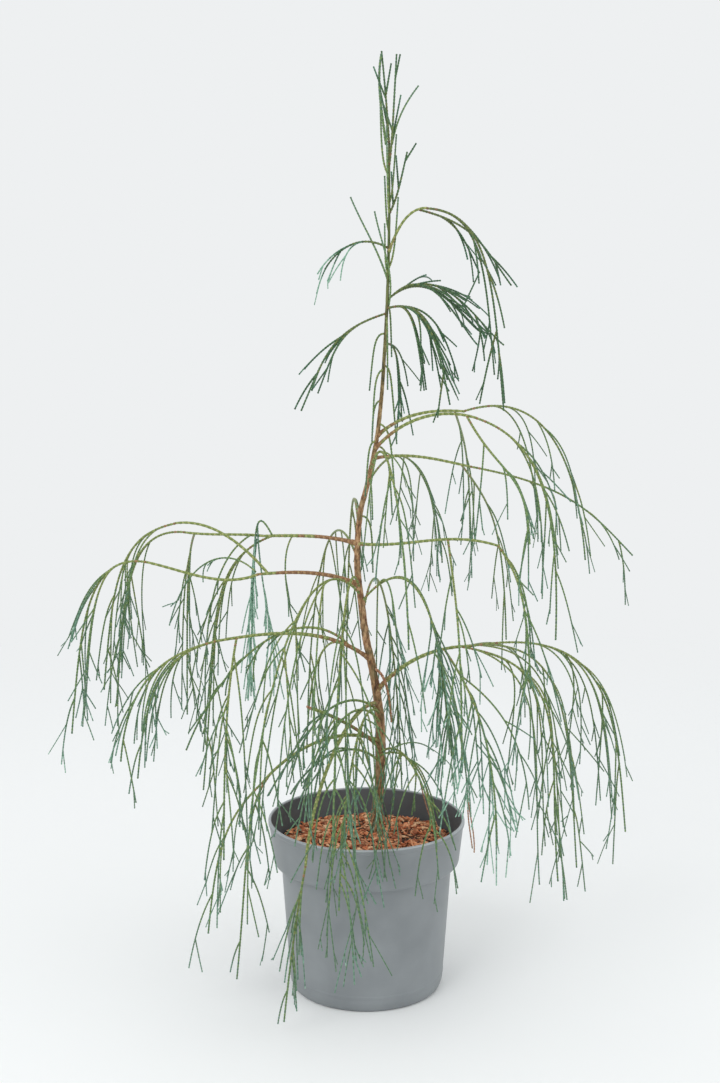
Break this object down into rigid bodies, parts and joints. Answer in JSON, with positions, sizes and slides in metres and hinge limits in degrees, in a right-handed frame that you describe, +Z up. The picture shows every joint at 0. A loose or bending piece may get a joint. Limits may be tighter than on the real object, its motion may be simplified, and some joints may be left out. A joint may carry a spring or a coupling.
{
  "type": "potted weeping lawson cypress",
  "caption": "Young weeping conifer with a slim trunk, arching boughs and thread-like hanging foliage, growing in bark-topped compost in a round nursery pot.",
  "frame": {"origin": "centre of the pot's flat underside, on the floor", "axes": "+Z up along the plant, +X to the right and +Y away from the viewer of the picture"},
  "size_m": [0.6223, 0.4455, 0.999],
  "materials": {
    "pot_plastic": "moulded grey polypropylene, satin outside",
    "bark_chips": "loose red-brown bark chips over compost",
    "trunk_bark": "thin flaking grey-brown bark",
    "bough_bark": "smooth olive-brown young bark",
    "foliage": "thread-like twigs with pressed scale leaves, dark to blue green"
  },
  "bodies": {
    "root": {"pot": "pot_plastic", "bark_compost": "bark_chips", "trunk": "trunk_bark", "right_top_bough": "bough_bark", "right_upper_bough": "bough_bark", "right_arch_bough": "bough_bark", "right_middle_bough": "bough_bark", "right_lower_bough": "bough_bark", "right_low_bough": "bough_bark", "left_upper_bough": "bough_bark", "left_middle_bough": "bough_bark", "left_low_bough": "bough_bark", "front_left_bough": "bough_bark", "left_foot_bough": "bough_bark", "left_upper_arm": "bough_bark", "left_middle_arm": "bough_bark", "left_arch_bough": "bough_bark", "top_tuft": "foliage", "top_right_tuft": "foliage", "upper_shoots": "foliage", "left_top_spray": "foliage", "right_top_outer": "foliage", "right_top_inner": "foliage", "right_high_spray": "foliage", "right_high_steep": "foliage", "left_high_spray": "foliage", "middle_wisp": "foliage", "right_upper_outer": "foliage", "right_upper_hang": "foliage", "right_arch_outer": "foliage", "right_arch_inner": "foliage", "right_middle_outer": "foliage", "right_middle_hang": "foliage", "right_lower_outer": "foliage", "right_lower_hang": "foliage", "right_loop_front": "foliage", "right_loop_back": "foliage", "front_upper_fall": "foliage", "back_upper_fall": "foliage", "right_low_outer": "foliage", "right_low_middle": "foliage", "right_low_far": "foliage", "right_low_inner": "foliage", "left_upper_outer": "foliage", "left_upper_third": "foliage", "left_upper_inner": "foliage", "back_left_fall": "foliage", "left_middle_outer": "foliage", "left_arch_outer": "foliage", "left_low_outer": "foliage", "left_low_second": "foliage", "left_low_front": "foliage", "left_front_fall": "foliage", "front_middle_fall": "foliage", "front_left_long": "foliage", "left_foot_long": "foliage", "left_foot_hang": "foliage", "front_fall": "foliage", "right_foot_spray": "foliage", "back_fall": "foliage"}
  },
  "joints": []
}
